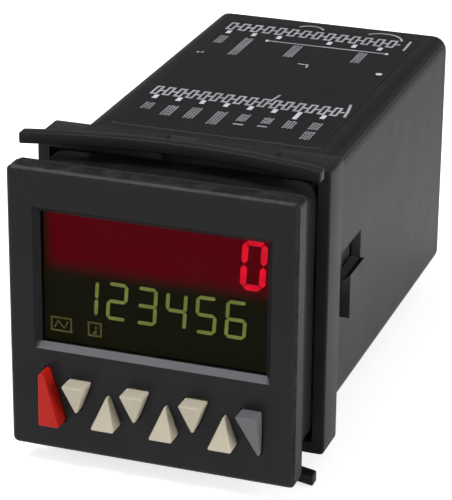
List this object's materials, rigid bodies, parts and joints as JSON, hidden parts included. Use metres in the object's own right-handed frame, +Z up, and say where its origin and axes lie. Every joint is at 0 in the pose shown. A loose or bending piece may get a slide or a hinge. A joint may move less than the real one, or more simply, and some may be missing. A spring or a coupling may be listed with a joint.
{
  "type": "panel counter",
  "caption": "Square panel counter with a two-row display above a row of raised triangular keys, a deep housing with a sliding clamp frame, and plug-in screw terminals at the rear.",
  "frame": {"origin": "middle of the base of the counter's outline, with the lower spring bow on the ground plane", "axes": "+Y from the display back to the terminals, +Z up, +X right as seen from the front"},
  "size_m": [0.0498, 0.1016, 0.0537],
  "materials": {
    "backlight_guide": "milky",
    "clamp_frame": "fine matt texture",
    "contact_strip_lower": "matt",
    "contact_strip_upper": "matt",
    "display_board": "satin lacquer",
    "display_glass": "polished",
    "display_window": "polished, smoked",
    "filter_capacitor": "sleeved can",
    "front_bezel": "fine matt texture",
    "housing_shell": "fine matt texture",
    "key_cream_1": "satin",
    "key_cream_2": "satin",
    "key_cream_3": "satin",
    "key_cream_4": "satin",
    "key_cream_5": "satin",
    "key_cream_6": "satin",
    "key_grey": "satin",
    "key_red": "satin",
    "keypad_mat": "matt",
    "microcontroller": "matt",
    "panel_gasket": "matt",
    "power_board": "satin lacquer",
    "power_header": "matt",
    "power_plug": "matt",
    "power_screw_1": "nickel plated",
    "power_screw_2": "nickel plated",
    "power_screw_3": "nickel plated",
    "power_screw_4": "nickel plated",
    "power_screw_5": "nickel plated",
    "power_screw_6": "nickel plated",
    "power_screw_7": "nickel plated",
    "power_socket": "matt",
    "rear_cover": "fine matt texture",
    "relay_left": "matt",
    "relay_right": "matt",
    "signal_board": "satin lacquer",
    "signal_header": "matt",
    "signal_plug": "matt",
    "signal_screw_1": "nickel plated",
    "signal_screw_2": "nickel plated",
    "signal_screw_3": "nickel plated",
    "signal_screw_4": "nickel plated",
    "signal_screw_5": "nickel plated",
    "signal_screw_6": "nickel plated",
    "signal_screw_7": "nickel plated",
    "signal_screw_8": "nickel plated",
    "signal_socket": "matt",
    "transformer": "sintered, matt",
    "wiring_label": "satin film"
  },
  "bodies": {
    "case": {"backlight_guide": "backlight_guide", "contact_strip_lower": "contact_strip_lower", "contact_strip_upper": "contact_strip_upper", "display_board": "display_board", "display_glass": "display_glass", "display_window": "display_window", "filter_capacitor": "filter_capacitor", "front_bezel": "front_bezel", "housing_shell": "housing_shell", "keypad_mat": "keypad_mat", "microcontroller": "microcontroller", "panel_gasket": "panel_gasket", "power_board": "power_board", "power_header": "power_header", "power_plug": "power_plug", "power_screw_1": "power_screw_1", "power_screw_2": "power_screw_2", "power_screw_3": "power_screw_3", "power_screw_4": "power_screw_4", "power_screw_5": "power_screw_5", "power_screw_6": "power_screw_6", "power_screw_7": "power_screw_7", "power_socket": "power_socket", "rear_cover": "rear_cover", "relay_left": "relay_left", "relay_right": "relay_right", "signal_board": "signal_board", "signal_header": "signal_header", "signal_plug": "signal_plug", "signal_screw_1": "signal_screw_1", "signal_screw_2": "signal_screw_2", "signal_screw_3": "signal_screw_3", "signal_screw_4": "signal_screw_4", "signal_screw_5": "signal_screw_5", "signal_screw_6": "signal_screw_6", "signal_screw_7": "signal_screw_7", "signal_screw_8": "signal_screw_8", "signal_socket": "signal_socket", "transformer": "transformer", "wiring_label": "wiring_label"},
    "clamp": {"clamp_frame": "clamp_frame"},
    "key_red": {"key_red": "key_red"},
    "key_cream_1": {"key_cream_1": "key_cream_1"},
    "key_cream_2": {"key_cream_2": "key_cream_2"},
    "key_cream_3": {"key_cream_3": "key_cream_3"},
    "key_cream_4": {"key_cream_4": "key_cream_4"},
    "key_cream_5": {"key_cream_5": "key_cream_5"},
    "key_cream_6": {"key_cream_6": "key_cream_6"},
    "key_grey": {"key_grey": "key_grey"}
  },
  "joints": [
    {"name": "clamp_slide", "type": "slide", "parent": "case", "child": "clamp", "axis": [0, 1, 0], "range_m": [-0.0066, 0.0084]},
    {"name": "key_red_press", "type": "slide", "parent": "case", "child": "key_red", "axis": [0, 1, 0], "range_m": [0, 0.0006], "stiffness_N_per_m": 1500},
    {"name": "key_cream_1_press", "type": "slide", "parent": "case", "child": "key_cream_1", "axis": [0, 1, 0], "range_m": [0, 0.0006], "stiffness_N_per_m": 1500},
    {"name": "key_cream_2_press", "type": "slide", "parent": "case", "child": "key_cream_2", "axis": [0, 1, 0], "range_m": [0, 0.0006], "stiffness_N_per_m": 1500},
    {"name": "key_cream_3_press", "type": "slide", "parent": "case", "child": "key_cream_3", "axis": [0, 1, 0], "range_m": [0, 0.0006], "stiffness_N_per_m": 1500},
    {"name": "key_cream_4_press", "type": "slide", "parent": "case", "child": "key_cream_4", "axis": [0, 1, 0], "range_m": [0, 0.0006], "stiffness_N_per_m": 1500},
    {"name": "key_cream_5_press", "type": "slide", "parent": "case", "child": "key_cream_5", "axis": [0, 1, 0], "range_m": [0, 0.0006], "stiffness_N_per_m": 1500},
    {"name": "key_cream_6_press", "type": "slide", "parent": "case", "child": "key_cream_6", "axis": [0, 1, 0], "range_m": [0, 0.0006], "stiffness_N_per_m": 1500},
    {"name": "key_grey_press", "type": "slide", "parent": "case", "child": "key_grey", "axis": [0, 1, 0], "range_m": [0, 0.0006], "stiffness_N_per_m": 1500}
  ]
}
